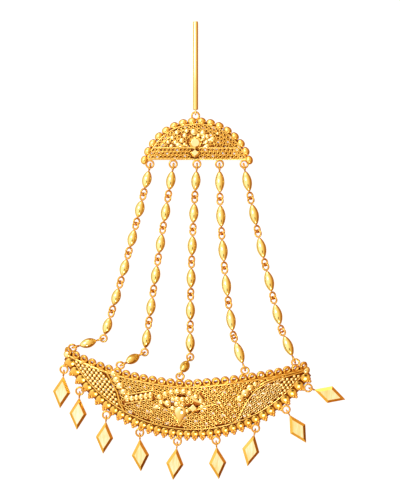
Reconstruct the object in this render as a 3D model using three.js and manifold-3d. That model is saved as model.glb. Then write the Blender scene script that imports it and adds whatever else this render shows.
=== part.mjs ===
// Forehead pendant in yellow gold, lying on a surface with its front up.
// A plain hair rod carries a half-moon cap, five chains of marquise beads hang from the cap,
// a crescent plate joins the chains, and nine rhombus drops hang from the crescent.
// Millimetres, +Z up, +Y towards the rod, +X to the right as seen from the front.

import * as THREE from 'three';
import { mergeVertices } from 'three/addons/utils/BufferGeometryUtils.js';
import Module from 'manifold-3d';

const wasm = await Module();
wasm.setup();

// Wire and rings
const WIRE = 0.55;
const WIRE_SIDES = 5;
const RING_SIDES = 10;
const RING_RADIUS = 1.12;
const UPRIGHT = 90;
const RING_TO_EYE = { rod: 1.05, cap: 0.78, crescent: 0.98, drop: 1.1 };

// Half the width of the bars between the openings of the pierced plates
const NET_BAR = 0.36;

// Hair rod
const ROD = { radius: 0.8, sides: 12, x: -0.4, height: 1.0, freeEnd: 41.6 };
const ROD_EYE = { radius: 0.74, wire: 0.46 };

// Half-moon cap, drawn on the middle of its straight lower edge
const CAP = {
  arcRadius: 16.4, arcDrop: 4.7, rim: 0.35, thickness: 0.8, height: 1.15, dome: 1.1, corner: 15.6,
};
const CAP_BALL = { radius: 1.15, pitch: 9.77, perSide: 8, corners: [-72, -24, 24, 72], inner: 0.6 };
const CAP_RINGS = { top: 13.3, below: -1.23, along: [-14.1, -7.1, 0, 6.8, 14.2] };
const CAP_NET_ROWS = [
  { inner: 12.7, outer: 15.0, from: 38, to: 142, cells: 11 },
  { inner: 10.2, outer: 12.1, from: 52, to: 78, cells: 2 },
  { inner: 10.2, outer: 12.1, from: 102, to: 128, cells: 2 },
];
const CAP_BAND = { low: 0.4, high: 2.4, reach: 12.6, cells: 10, lift: 0.3 };
const CAP_BOSS = { x: -0.4, y: 5.1, radius: 1.7, sides: 8, height: 0.9 };
const BOSS_BEVEL_SHARE = 0.25;

// Beads and chains
const BEAD = { radius: 1.375, waist: 1.15, tipInEye: 0.95, sides: 10 };
const LINK_EYE = { radius: 1.0, roll: 35, lastGap: 0.9 };
const CHAINS = [
  { links: 7, eyeOffset: 3.95, eyeGap: 1.2, turn: -0.8, bowedTo: 1, taut: false, ringBearing: 20 },
  { links: 7, eyeOffset: 4.18, eyeGap: 1.24, turn: 0.4, bowedTo: 1, taut: false, ringBearing: 20 },
  { links: 7, eyeOffset: 4.25, eyeGap: 1.24, turn: 0.8, bowedTo: 1, taut: false, ringBearing: 75 },
  { links: 6, eyeOffset: 4.58, eyeGap: 1.24, turn: 1.9, bowedTo: -1, taut: true, ringBearing: 104 },
  { links: 6, eyeOffset: 4.49, eyeGap: 1.24, turn: 0.7, bowedTo: -1, taut: true, ringBearing: 120 },
];

// Crescent plate, drawn on the middle of the chord between its horns
const CRESCENT = { x: -3.48, y: -62.25, tilt: -3.7, thickness: 1.0, edgeHeight: 0.7, lean: 0.44 };
const LOWER_LINE = { radius: 42.5, x: 0.74, y: 22.77, halfAngle: 58.5 };
const UPPER_LINE = { radius: 92.7, y: 88.47, halfAngle: 22.3, swell: 1.15, swellSpan: 38 };
const LOOP = { count: 28, radius: 1.3, hole: 0.66, holeSides: 4, corners: [25, 90, 155] };
const SCALLOP = { count: 40, valley: 0.5, shoulder: 1.5, shoulderAt: 0.32 };
const CRESCENT_NET_FRAME = 1.75;
const CRESCENT_NET_FIELDS = [
  { from: 5.6, to: 20.2, columns: 5, rows: 2 },
  { from: 20.2, to: 32.2, columns: 5, rows: 1 },
];
const CHAIN_RINGS = [
  { along: -34.0, rise: 1.58 },
  { along: -19.2, rise: 2.12 },
  { along: -1.3, rise: 2.03 },
  { along: 17.7, rise: 2.17 },
  { along: 32.7, rise: 1.65 },
];
const DROP_RING_ANGLE = [-55.2, -45, -31.3, -16.9, -2.1, 12.7, 28.5, 42.2, 54];
const DROP_RING_REACH = 2.6;
const DROP_RING_HEIGHT = 1.15;
// Flower on the crescent: round boss, drop petal below it, a leaf on either side
const FLOWER = [
  { x: 0, y: -9.6, width: 4.2, length: 4.2, sides: 8, turn: 0 },
  { x: 0, y: -13.6, width: 3.6, length: 6.4, sides: 4, turn: 0 },
  { x: -3.6, y: -9.6, width: 2.8, length: 4.6, sides: 4, turn: 60 },
  { x: 3.6, y: -9.6, width: 2.8, length: 4.6, sides: 4, turn: -60 },
];
const FLOWER_RELIEF = 0.9;

// Rhombus drops, each turned by so many degrees from straight down
const DROP = { width: 5.3, length: 9.9, bevel: 0.8, girdle: 0.3, thickness: 1.7 };
const DROP_EYE = { radius: 0.85, wire: 0.46, neck: 0.8, height: 1.15 };
const DROP_TURN = [-6, -4.4, -5, 1.6, -6.5, 4, -12, 31, 72.5];

const GOLD = {
  rod: { color: 0xf2c25c, roughness: 0.14 },
  plate: { color: 0xe8b04a, roughness: 0.22 },
  bead: { color: 0xf0bd52, roughness: 0.16 },
  drop: { color: 0xf5cf70, roughness: 0.1 },
};

const MERGE_DISTANCE = 1e-4;
const DEGREE = Math.PI / 180;
const UP = new THREE.Vector3(0, 0, 1);

function goldMaterial(gold) {
  return new THREE.MeshStandardMaterial({ ...gold, metalness: 1 });
}

// Closed geometry to a solid: shared corners merged, triangles that collapse at a pole dropped.
function toSolid(geometry) {
  const bare = geometry.clone();
  bare.deleteAttribute('normal');
  bare.deleteAttribute('uv');
  const merged = mergeVertices(bare, MERGE_DISTANCE);
  const corners = merged.index.array;
  const kept = [];
  for (let i = 0; i < corners.length; i += 3) {
    const [a, b, c] = corners.slice(i, i + 3);
    if (a !== b && b !== c && c !== a) kept.push(a, b, c);
  }
  return new wasm.Manifold(new wasm.Mesh({
    numProp: 3,
    vertProperties: new Float32Array(merged.attributes.position.array),
    triVerts: new Uint32Array(kept),
  }));
}

// Soldered pieces become one solid.
function solder(geometries) {
  const solids = geometries.map(toSolid);
  const fused = solids.reduce((whole, piece) => whole.add(piece)).getMesh();
  const geometry = new THREE.BufferGeometry();
  geometry.setAttribute('position', new THREE.BufferAttribute(fused.vertProperties, 3));
  geometry.setIndex(new THREE.BufferAttribute(fused.triVerts, 1));
  geometry.computeVertexNormals();
  return geometry;
}

function wireRing(radius, wire = WIRE) {
  return new THREE.TorusGeometry(radius, wire / 2, WIRE_SIDES, RING_SIDES);
}

function pointAt(radius, degrees) {
  return new THREE.Vector2(radius * Math.cos(degrees * DEGREE), radius * Math.sin(degrees * DEGREE));
}

// A plate cut from a flat outline, then lifted point by point to its curved height.
function liftedPlate(shape, thickness, heightAt) {
  const plate = new THREE.ExtrudeGeometry(shape, { depth: thickness, bevelEnabled: false });
  plate.translate(0, 0, -thickness / 2);
  const place = plate.attributes.position;
  for (let i = 0; i < place.count; i += 1) {
    place.setZ(i, place.getZ(i) + heightAt(place.getX(i), place.getY(i)));
  }
  return plate;
}

// A raised facet-cut ornament: a regular or stretched outline with a bevel up to its table.
function facetedBoss(width, length, sides, relief) {
  const outline = [];
  for (let i = 0; i < sides; i += 1) {
    const corner = pointAt(0.5, 90 + (360 * i) / sides);
    outline.push(corner.multiply(new THREE.Vector2(width, length)));
  }
  const bevel = BOSS_BEVEL_SHARE * Math.min(width, length);
  const boss = new THREE.ExtrudeGeometry(new THREE.Shape(outline), {
    depth: relief, bevelThickness: relief, bevelSize: bevel, bevelOffset: -bevel, bevelSegments: 1,
  });
  return boss.translate(0, 0, -relief);
}

// Hair rod: its axis runs along Y, with an upright eye at the lower end.
function hairRod() {
  const eyeAt = CAP_RINGS.top + RING_TO_EYE.rod;
  const start = eyeAt + ROD_EYE.radius;
  const length = ROD.freeEnd - start;
  const rod = new THREE.CylinderGeometry(ROD.radius, ROD.radius, length, ROD.sides);
  rod.translate(0, start + length / 2, 0);
  const eye = wireRing(ROD_EYE.radius, ROD_EYE.wire);
  eye.rotateY(UPRIGHT * DEGREE).translate(0, eyeAt, 0);
  return solder([rod, eye]).translate(ROD.x, 0, ROD.height);
}

// Height of the cap's middle surface: flat round its edge and domed inside.
function capHeight(x, y) {
  const across = 1 - (x / CAP.corner) ** 2;
  const along = y / (CAP.arcRadius - CAP.arcDrop);
  return CAP.height + CAP.dome * Math.max(0, across) * 4 * Math.max(0, along * (1 - along));
}

function capHoles() {
  const holes = [];
  const centre = new THREE.Vector2(0, -CAP.arcDrop);
  for (const row of CAP_NET_ROWS) {
    const step = (row.to - row.from) / row.cells;
    const barAngle = NET_BAR / row.outer / DEGREE;
    for (let cell = 0; cell < row.cells; cell += 1) {
      const first = row.from + cell * step + barAngle;
      const last = row.from + (cell + 1) * step - barAngle;
      holes.push([
        pointAt(row.inner, first).add(centre), pointAt(row.outer, first).add(centre),
        pointAt(row.outer, last).add(centre), pointAt(row.inner, last).add(centre),
      ]);
    }
  }
  const width = (2 * CAP_BAND.reach) / CAP_BAND.cells;
  for (let cell = 0; cell < CAP_BAND.cells; cell += 1) {
    const left = -CAP_BAND.reach + cell * width + NET_BAR;
    const right = left + width - 2 * NET_BAR;
    const corner = (x, y) => new THREE.Vector2(x, y + CAP_BAND.lift * (x / CAP_BAND.reach) ** 2);
    holes.push([
      corner(left, CAP_BAND.low), corner(left, CAP_BAND.high),
      corner(right, CAP_BAND.high), corner(right, CAP_BAND.low),
    ]);
  }
  return holes.map((corners) => new THREE.Path(corners));
}

function capRingPlaces() {
  return CAP_RINGS.along.map((x) => new THREE.Vector3(x, CAP_RINGS.below, BEAD.radius));
}

// Border of the cap's arc: a thick band whose outer edge is rounded ball by ball.
function capBorder() {
  const centre = new THREE.Vector2(0, -CAP.arcDrop);
  const count = 2 * CAP_BALL.perSide;
  const outer = [];
  const inner = [];
  for (let i = 0; i < count; i += 1) {
    const degrees = 90 + (i - (count - 1) / 2) * CAP_BALL.pitch;
    const ball = pointAt(CAP.arcRadius, degrees).add(centre);
    for (const corner of CAP_BALL.corners) {
      outer.push(pointAt(CAP_BALL.radius, degrees + corner).add(ball));
    }
    inner.push(pointAt(CAP.arcRadius - CAP_BALL.inner, degrees).add(centre));
  }
  const band = new THREE.Shape([...outer, ...inner.reverse()]);
  return liftedPlate(band, 2 * CAP_BALL.radius, () => CAP_BALL.radius);
}

// Half-moon cap: pierced domed plate, ball border, flower boss, one ring above and five below.
function capPlate() {
  const edge = Math.asin((CAP.arcDrop - CAP.rim) / CAP.arcRadius);
  const outline = new THREE.Shape();
  outline.absarc(0, -CAP.arcDrop, CAP.arcRadius - CAP.rim, edge, Math.PI - edge);
  outline.holes.push(...capHoles());
  const pieces = [liftedPlate(outline, CAP.thickness, capHeight)];
  pieces.push(capBorder());
  pieces.push(wireRing(RING_RADIUS).translate(ROD.x, CAP_RINGS.top, ROD.height));
  for (const place of capRingPlaces()) {
    pieces.push(wireRing(RING_RADIUS).translate(place.x, place.y, place.z));
  }
  const boss = facetedBoss(2 * CAP_BOSS.radius, 2 * CAP_BOSS.radius, CAP_BOSS.sides, CAP_BOSS.height);
  pieces.push(boss.translate(CAP_BOSS.x, CAP_BOSS.y, capHeight(CAP_BOSS.x, CAP_BOSS.y)));
  return solder(pieces);
}

// Middle lines of the crescent's two borders, in its own frame.
function lowerLine(u) {
  return LOWER_LINE.y - Math.sqrt(LOWER_LINE.radius ** 2 - (u - LOWER_LINE.x) ** 2);
}

// The upper line swells a little to the right of the middle.
function upperLine(u) {
  const share = THREE.MathUtils.clamp(u / UPPER_LINE.swellSpan, 0, 1);
  const swell = UPPER_LINE.swell * Math.sin(Math.PI * share);
  return UPPER_LINE.y - Math.sqrt(UPPER_LINE.radius ** 2 - u ** 2) + swell;
}

// The lower border lies flat on the surface, and the plate leans up from it towards the chains.
function crescentHeight(u, v) {
  return CRESCENT.edgeHeight + CRESCENT.lean * Math.max(0, v - lowerLine(u));
}

function lowerPoint(degrees, reach) {
  const at = pointAt(LOWER_LINE.radius + reach, degrees - 90);
  return new THREE.Vector2(at.x + LOWER_LINE.x, at.y + LOWER_LINE.y);
}

function upperPoint(degrees) {
  const u = UPPER_LINE.radius * Math.sin(degrees * DEGREE);
  return new THREE.Vector2(u, upperLine(u));
}

function loopAngle(i) {
  return UPPER_LINE.halfAngle * ((2 * i) / (LOOP.count - 1) - 1);
}

// Outline of the crescent: pointed scallops along the lower border, arches along the upper one.
function crescentOutline() {
  const points = [];
  const step = (2 * LOWER_LINE.halfAngle) / SCALLOP.count;
  for (let i = 0; i < SCALLOP.count; i += 1) {
    const start = -LOWER_LINE.halfAngle + i * step;
    points.push(lowerPoint(start, SCALLOP.valley));
    points.push(lowerPoint(start + SCALLOP.shoulderAt * step, SCALLOP.shoulder));
    points.push(lowerPoint(start + (1 - SCALLOP.shoulderAt) * step, SCALLOP.shoulder));
  }
  for (let i = LOOP.count - 1; i >= 0; i -= 1) {
    const centre = upperPoint(loopAngle(i));
    for (const corner of LOOP.corners) {
      points.push(pointAt(LOOP.radius, corner + loopAngle(i)).add(centre));
    }
  }
  return points;
}

// Openings between the crescent's frame wires: rows of four-sided cells on both sides of the flower.
function crescentNet() {
  const holes = [];
  for (const field of CRESCENT_NET_FIELDS) {
    const width = (field.to - field.from) / field.columns;
    for (let column = 0; column < field.columns; column += 1) {
      const near = field.from + column * width + NET_BAR;
      const far = near + width - 2 * NET_BAR;
      for (let row = 0; row < field.rows; row += 1) {
        for (const side of [-1, 1]) {
          holes.push(crescentCell(side * near, side * far, row / field.rows, (row + 1) / field.rows));
        }
      }
    }
  }
  return holes;
}

function crescentCell(near, far, low, high) {
  const corner = (u, share, bar) => {
    const bottom = lowerLine(u) + CRESCENT_NET_FRAME;
    const top = upperLine(u) - CRESCENT_NET_FRAME;
    return new THREE.Vector2(u, bottom + share * (top - bottom) + bar);
  };
  return [
    corner(near, low, NET_BAR), corner(near, high, -NET_BAR),
    corner(far, high, -NET_BAR), corner(far, low, NET_BAR),
  ];
}

function loopHoles() {
  const holes = [];
  for (let i = 0; i < LOOP.count; i += 1) {
    const hole = [];
    for (let k = 0; k < LOOP.holeSides; k += 1) {
      const corner = pointAt(LOOP.hole, 90 + (360 * k) / LOOP.holeSides);
      hole.push(corner.add(upperPoint(loopAngle(i))));
    }
    holes.push(hole);
  }
  return holes;
}

// Rings of the crescent in its own frame: five for the chains on the lean, nine flat for the drops.
function chainRingPlaces() {
  return CHAIN_RINGS.map(({ along, rise }) => {
    const v = upperLine(along) + rise;
    return new THREE.Vector3(along, v, crescentHeight(along, v));
  });
}

function dropRingPlaces() {
  return DROP_RING_ANGLE.map((degrees) => {
    const at = lowerPoint(degrees, DROP_RING_REACH);
    return new THREE.Vector3(at.x, at.y, DROP_RING_HEIGHT);
  });
}

function crescentPlate() {
  const outline = new THREE.Shape(crescentOutline());
  const holes = [...crescentNet(), ...loopHoles()];
  outline.holes.push(...holes.map((corners) => new THREE.Path(corners)));
  const pieces = [liftedPlate(outline, CRESCENT.thickness, crescentHeight)];
  const leanAngle = Math.atan(CRESCENT.lean);
  for (const place of chainRingPlaces()) {
    pieces.push(wireRing(RING_RADIUS).rotateX(leanAngle).translate(place.x, place.y, place.z));
  }
  for (const place of dropRingPlaces()) {
    pieces.push(wireRing(RING_RADIUS).translate(place.x, place.y, place.z));
  }
  for (const ornament of FLOWER) {
    const { x, y, width, length, sides, turn } = ornament;
    const boss = facetedBoss(width, length, sides, FLOWER_RELIEF);
    boss.rotateZ(turn * DEGREE).rotateX(leanAngle).translate(x, y, crescentHeight(x, y));
    pieces.push(boss);
  }
  return solder(pieces);
}

// Marquise bead along Y with a wire eye at each end, the first eye towards the cap.
function linkGeometry(eyeOffset, firstRoll, lastRoll) {
  const tip = eyeOffset - BEAD.tipInEye;
  const profile = [
    new THREE.Vector2(0, -tip),
    new THREE.Vector2(BEAD.radius, -BEAD.waist),
    new THREE.Vector2(BEAD.radius, BEAD.waist),
    new THREE.Vector2(0, tip),
  ];
  const bead = new THREE.LatheGeometry(profile, BEAD.sides);
  const first = wireRing(LINK_EYE.radius).rotateY(firstRoll * DEGREE).translate(0, eyeOffset, 0);
  const last = wireRing(LINK_EYE.radius).rotateY(lastRoll * DEGREE).translate(0, -eyeOffset, 0);
  return solder([bead, first, last]);
}

// Eye centres of a chain's links. All but the last link lie in one run that turns a little at each
// eye, and the last link closes the way from the end of that run to the crescent's ring.
function layChain(start, end, chain) {
  const span = 2 * chain.eyeOffset;
  const runLinks = chain.links - 1;
  const runLength = runLinks * span + (runLinks - 1) * chain.eyeGap;
  const rise = chain.taut ? ((end.z - start.z) * runLinks) / chain.links : 0;
  const slope = Math.asin(rise / runLength);
  const step = (heading, length) => new THREE.Vector3(
    length * Math.cos(slope) * Math.cos(heading),
    length * Math.cos(slope) * Math.sin(heading),
    length * Math.sin(slope),
  );
  const run = [];
  let first = new THREE.Vector3();
  for (let i = 0; i < runLinks; i += 1) {
    const heading = i * chain.turn * DEGREE;
    const last = first.clone().add(step(heading, span));
    run.push([first, last]);
    first = last.clone().add(step(heading, chain.eyeGap));
  }
  const runEnd = run[runLinks - 1][1];
  const runReach = Math.hypot(runEnd.x, runEnd.y);
  const lastSpan = Math.sqrt(span ** 2 - (end.z - start.z - runEnd.z) ** 2);
  const lastReach = lastSpan + LINK_EYE.lastGap;
  const distance = Math.hypot(end.x - start.x, end.y - start.y);
  const along = (runReach ** 2 - lastReach ** 2 + distance ** 2) / (2 * distance);
  const aside = chain.bowedTo * Math.sqrt(Math.max(0, runReach ** 2 - along ** 2));
  const course = Math.atan2(end.y - start.y, end.x - start.x) + Math.atan2(aside, along);
  const turn = course - Math.atan2(runEnd.y, runEnd.x);
  const settle = (point) => point.clone().applyAxisAngle(UP, turn).add(start);
  const links = run.map((eyes) => eyes.map(settle));
  const knot = settle(runEnd);
  const lastStart = knot.clone().lerp(end, LINK_EYE.lastGap / lastReach).setZ(knot.z);
  links.push([lastStart, end.clone()]);
  return links;
}

function linkMesh(name, geometry, first, last) {
  const mesh = new THREE.Mesh(geometry, goldMaterial(GOLD.bead));
  const along = first.clone().sub(last).normalize();
  const across = new THREE.Vector3().crossVectors(along, UP).normalize();
  const above = new THREE.Vector3().crossVectors(across, along);
  mesh.name = name;
  mesh.quaternion.setFromRotationMatrix(new THREE.Matrix4().makeBasis(across, along, above));
  mesh.position.copy(first).lerp(last, 0.5);
  return mesh;
}

// Eyes lean to either side of flat by turns. Those in a plate's ring stand upright, and so does
// the upper eye of a last link that bends away from its run, in an eye that lies flat.
function eyeRolls(chain, i) {
  const lastLink = chain.links - 1;
  let firstRoll = -LINK_EYE.roll;
  let lastRoll = LINK_EYE.roll;
  if (i === 0) firstRoll = UPRIGHT;
  if (i === lastLink) lastRoll = UPRIGHT;
  if (i === lastLink && !chain.taut) firstRoll = UPRIGHT;
  if (i === lastLink - 1 && !chain.taut) lastRoll = 0;
  return [firstRoll, lastRoll];
}

function chainLinks(number, start, end) {
  const chain = CHAINS[number - 1];
  return layChain(start, end, chain).map(([first, last], i) => {
    const geometry = linkGeometry(chain.eyeOffset, ...eyeRolls(chain, i));
    return linkMesh(`chain_${number}_link_${i + 1}`, geometry, first, last);
  });
}

// Rhombus drop hanging along -Y from its eye, which stands at the origin.
function dropGeometry() {
  const { width, length, bevel, girdle, thickness } = DROP;
  const rhombus = new THREE.Shape([
    new THREE.Vector2(0, 0),
    new THREE.Vector2(-width / 2, -length / 2),
    new THREE.Vector2(0, -length),
    new THREE.Vector2(width / 2, -length / 2),
  ]);
  const body = new THREE.ExtrudeGeometry(rhombus, {
    depth: girdle, bevelThickness: (thickness - girdle) / 2, bevelSize: bevel, bevelOffset: -bevel,
    bevelSegments: 1,
  });
  body.translate(0, -DROP_EYE.neck, thickness / 2 - girdle / 2 - DROP_EYE.height);
  const eye = wireRing(DROP_EYE.radius, DROP_EYE.wire).rotateY(UPRIGHT * DEGREE);
  return solder([body, eye]);
}

function dropMesh(number, ring) {
  const turn = DROP_TURN[number - 1] * DEGREE;
  const mesh = new THREE.Mesh(dropGeometry(), goldMaterial(GOLD.drop));
  mesh.name = `drop_${number}`;
  mesh.rotation.z = turn;
  mesh.position.set(0, -RING_TO_EYE.drop, 0).applyAxisAngle(UP, turn).add(ring);
  return mesh;
}

// Everything in the cap's frame
const crescentTurn = CRESCENT.tilt * DEGREE;
const crescentOrigin = new THREE.Vector3(CRESCENT.x, CRESCENT.y, 0);
const fromCrescent = (place) => place.clone().applyAxisAngle(UP, crescentTurn).add(crescentOrigin);

const pendant = new THREE.Group();

const rod = new THREE.Mesh(hairRod(), goldMaterial(GOLD.rod));
rod.name = 'hair_rod';
pendant.add(rod);

const cap = new THREE.Mesh(capPlate(), goldMaterial(GOLD.plate));
cap.name = 'cap_plate';
pendant.add(cap);

const crescent = new THREE.Mesh(crescentPlate(), goldMaterial(GOLD.plate));
crescent.name = 'crescent_plate';
crescent.position.copy(crescentOrigin);
crescent.rotation.z = crescentTurn;
pendant.add(crescent);

const capRings = capRingPlaces();
chainRingPlaces().map(fromCrescent).forEach((lowRing, i) => {
  const highRing = capRings[i];
  const start = highRing.clone().setY(highRing.y - RING_TO_EYE.cap);
  const reach = pointAt(RING_TO_EYE.crescent, CHAINS[i].ringBearing);
  const end = lowRing.clone().add(new THREE.Vector3(reach.x, reach.y, CRESCENT.lean * reach.y));
  pendant.add(...chainLinks(i + 1, start, end));
});

dropRingPlaces().map(fromCrescent).forEach((ring, i) => {
  pendant.add(dropMesh(i + 1, ring));
});

// The origin is the middle of the lowest face of the box round the whole pendant.
const box = new THREE.Box3().setFromObject(pendant, true);
const middle = box.getCenter(new THREE.Vector3());
pendant.position.set(-middle.x, -middle.y, -box.min.z);

export default pendant;
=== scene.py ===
"""Forehead pendant in yellow gold filigree, lying on a pale floor and seen from straight above.

Shapes are drawn in millimetres in each piece's own frame, then set in place on the solid they stand for.
"""
import math

import bmesh
import bpy
import numpy as np
from mathutils import Matrix, Vector


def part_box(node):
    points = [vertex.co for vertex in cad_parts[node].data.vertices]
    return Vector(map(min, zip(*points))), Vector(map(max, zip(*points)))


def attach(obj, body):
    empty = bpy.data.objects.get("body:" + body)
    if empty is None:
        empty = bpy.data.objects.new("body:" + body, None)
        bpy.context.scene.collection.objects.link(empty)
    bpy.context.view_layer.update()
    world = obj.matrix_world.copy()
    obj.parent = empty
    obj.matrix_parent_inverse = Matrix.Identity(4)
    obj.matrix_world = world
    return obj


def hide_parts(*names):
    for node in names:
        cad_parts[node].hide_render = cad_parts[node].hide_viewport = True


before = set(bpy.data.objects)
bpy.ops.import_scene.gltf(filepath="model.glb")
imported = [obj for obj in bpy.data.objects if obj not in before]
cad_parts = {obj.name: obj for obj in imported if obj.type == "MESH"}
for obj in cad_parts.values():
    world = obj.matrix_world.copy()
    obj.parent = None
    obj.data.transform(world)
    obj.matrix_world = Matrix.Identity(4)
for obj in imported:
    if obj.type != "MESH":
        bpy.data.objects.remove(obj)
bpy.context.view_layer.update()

MM = 0.001
TURN = 2 * math.pi
UP = Vector((0, 0, 1))
TINY = 1e-4

# The number of a piece's second gold: a darker copy for painted shade on rings, eyes and disc grains, a
# paler one for painted highlight on bosses and grains
PAINTED_LIGHT_SLOT = 1

# Wire and rings: the solids' wire is a little thinner than the wire drawn here
SOLID_WIRE = 0.275
DRAWN_WIRE = 0.3
RING_RADIUS = 1.12
LINK_EYE = {"radius": 1.0, "zone": 2.2}
ROD_EYE = {"radius": 0.74, "wire": 0.23}
DROP_EYE = {"radius": 0.85, "wire": 0.23, "neck": 0.8, "top_slice": 0.35}
ROD = {"sides": 48, "rim": 0.12}

# Marquise beads and rhombus drops
BEAD = {"radius": 1.42, "tip_in_eye": 1.18, "fullness": 0.64, "rows": 18, "sides": 24}
DROP = {"width": 5.3, "length": 9.9, "bevel": 0.8, "girdle": 0.3, "thickness": 1.7, "edge": 0.05}
# Golds of the drop: paler level tables as painted highlight, darker eye and bevels as painted shade.
DROP_LIT_AND_SHADED_SLOTS = {"table": 0, "eye": 1, "bevel": 2}
LEVEL_NORMAL = 0.95

# Discs, petals and cut bosses
COIN = {"sides": 18, "rim": 0.3}
TEARDROP = {"taper": 0.62, "point_height": 0.35, "breadth": 1.3}
FACET_EDGE = 0.04

# Fine net of small rings, with a grain in some of them and an opening below others
NET = {"ring": 0.47, "wire": 0.19, "pitch": 1.19, "row": 1.02, "grain": 0.36, "grain_every": 19}
NET_GRAIN_STEPS = {"column": 3, "row": 5}
OPENING_EVERY = {"cap": 11, "crescent": 11}
SHEET_THICKNESS = 0.25

# Half-moon cap, drawn on the middle of its straight lower edge
CAP_LOWEST = -2.557
CAP_ARC = {"radius": 16.4, "drop": 4.7}
CAP_HEIGHT = {"edge": 1.15, "dome": 1.1, "corner": 15.6, "half_thickness": 0.4}
CAP_SHEET = {"half_width": 15.3, "radius": 16.3, "low": 0.2, "below": 0.75, "cells": (40, 14)}
CAP_BALL = {"count": 16, "pitch": 9.77, "radius": 1.15, "width": 2.75}
CAP_TOP_RING = (-0.4, 13.3, 1.0)
CAP_RINGS = {"below": -1.23, "height": 1.375, "along": [-14.1, -7.1, 0, 6.8, 14.2]}
CAP_WIRE_SUNK = 0.1
CAP_WIRE_POINTS = {"arc": 49, "straight": 41}
CAP_ARC_WIRES = [{"radius": 15.5, "wire": 0.2}, {"radius": 14.0, "wire": 0.16}]
CAP_ARC_WIRE_LOW = 0.3
CAP_STRAIGHT_WIRES = [{"up": 0.25, "reach": 15.4}, {"up": 3.6, "reach": 12.7}]
CAP_STRAIGHT_WIRE = 0.24
CAP_NET_SUNK = 0.3
CAP_NET_BAND = {"rows": 3, "columns": 13, "low": 0.95, "reach": 14.6}
CAP_NET_ARCS = {"rows": 12, "radius": 14.8, "low": 4.1}

# Flower of the cap: (along, up, width) of petals and of patches without net,
# (along, up, length, degrees turned) of leaves
CAP_CENTRE = {"at": (-0.45, 5.1), "width": 4.0, "length": 4.0, "sides": 8, "relief": 0.9, "table": 0.62}
CAP_KITE = {"at": (-0.55, 2.1), "width": 3.5, "length": 3.0, "sides": 4, "relief": 0.75, "table": 0.62}
CAP_PETALS = [
    (-0.9, 8.35, 2.2), (1.85, 8.1, 1.9), (-3.0, 8.7, 1.4), (-3.6, 7.3, 1.6), (-4.5, 5.8, 1.6),
    (3.1, 7.0, 1.5), (0.55, 7.3, 1.3), (-6.0, 8.2, 1.5), (-7.3, 6.6, 1.4), (-6.4, 5.2, 1.4),
    (-8.6, 5.3, 1.3), (-7.6, 4.1, 1.3), (6.3, 7.9, 1.1),
]
CAP_LEAVES = [
    (4.2, 6.0, 3.0, -75), (-5.0, 4.3, 2.9, 75), (2.6, 3.9, 2.7, -70),
    (1.9, 6.4, 2.4, -35), (-3.2, 4.4, 2.2, 60), (2.6, 5.2, 2.4, -60),
]
CAP_CLEAR = [(-0.45, 5.1, 4.1), (-0.55, 2.1, 2.9), (4.2, 6.0, 1.7), (-4.6, 4.4, 2.2), (2.2, 4.6, 2.0)]
CAP_FLOWER_SUNK = 0.1
CAP_PETAL_RELIEF = 0.34
CAP_LEAF_RELIEF = 0.75
LEAF_WIDTH = 0.55

# Crescent plate, drawn on the middle of the chord between its horns
CRESCENT_FROM_BOX = (-0.249, 8.155)
CRESCENT_TILT = math.radians(-3.7)
LOWER_LINE = {"radius": 42.5, "middle": 0.74, "centre": 22.77, "half_angle": 58.5}
UPPER_LINE = {"radius": 92.7, "centre": 88.47, "half_angle": 22.3, "swell": 1.15, "swell_span": 38}
EDGE_HEIGHT = 0.7
LEAN = 0.44
CRESCENT_SHEET = {"outside": 1.15, "inside": 0.1, "below": 0.25, "cells": (80, 16)}
LOOPS = {"count": 28, "radius": 0.88, "wire": 0.46, "outside": 0.1, "lift": 0.2}
DISCS = {"count": 34, "spread": 0.133, "share": 0.475, "height": 0.5, "lift": 0.1, "tilt_share": 0.8}
DISC_GRAINS = {"radius": 0.5, "places": [(-0.5, 1.25), (0.5, 1.25), (0, 1.85)]}
UPPER_WIRE = {"inside": 1.2, "reach": 22.2, "wire": 0.38}
LOWER_WIRE = {"inside": 1.3, "reach": 55.5, "wire": 0.22}
BORDER_WIRES = {"points": 81, "lift": 0.25}
CHAIN_RINGS = [(-34.0, 1.58), (-19.2, 2.12), (-1.3, 2.03), (17.7, 2.17), (32.7, 1.65)]
DROP_RINGS = {"reach": 2.6, "height": 1.15}
DROP_RING_ANGLES = [-55.2, -45, -31.3, -16.9, -2.1, 12.7, 28.5, 42.2, 54]

# Panels of the crescent: (along, up) from the middle of the chord
LEAF_PANEL_LINE = [
    (16.8, -14.2), (18.0, -11.0), (19.4, -8.0), (21.4, -5.1), (24.2, -3.0),
    (27.0, -1.7), (30.9, -0.3), (34.7, 0.9), (37.0, 2.0),
]
LEAF_PANEL = {"left": 16.8, "tip": 29, "right": 35.6, "band": 0.35, "inside": 0.35}
LEAF_PANEL_POINTS = 40
LEAF_PANEL_WIRES = {"wire": 0.25, "lift": 0.35, "outer": 0.3, "outer_lift": 0.3, "apart": 0.75, "skip": 12}
HORN_PANEL_LINE = [
    (-17.3, -14.4), (-18.8, -12.0), (-19.7, -8.6), (-21.4, -5.7), (-23.0, -2.9), (-24.6, -1.8),
]
HORN_PANEL_WIRE = {"wire": 0.28, "lift": 0.4}
PETAL_LINES = [
    [
        (-0.5, -17.2), (0.8, -15.4), (2.3, -13.8), (3.7, -12.6),
        (5.2, -11.5), (7.5, -10.5), (10.0, -9.9),
    ],
    [
        (-0.8, -17.0), (-1.4, -15.8), (-2.2, -14.7), (-3.8, -12.9),
        (-5.2, -12.2), (-6.9, -11.7), (-9.4, -10.4),
    ],
]
PETAL_WIRE = {"wire": 0.24, "lift": 0.4}
CRESCENT_NET = {"rows": 20, "columns": 40, "first": 1.65, "border": 1.7, "reach": 36}
CRESCENT_NET_LIFT = {"ring": 0.1, "grain": 0.25}
GRANULE = {"radius": 0.6, "lift": 0.15}
GRANULES = {"rows": 9, "columns": 50, "first": 2.15, "row": 1.02, "pitch": 1.18}
HORN_PANEL = {"left": -36, "below_edge": 1.2, "openings_below_edge": 2, "inside": 0.5, "outside": 0.2}

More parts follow.
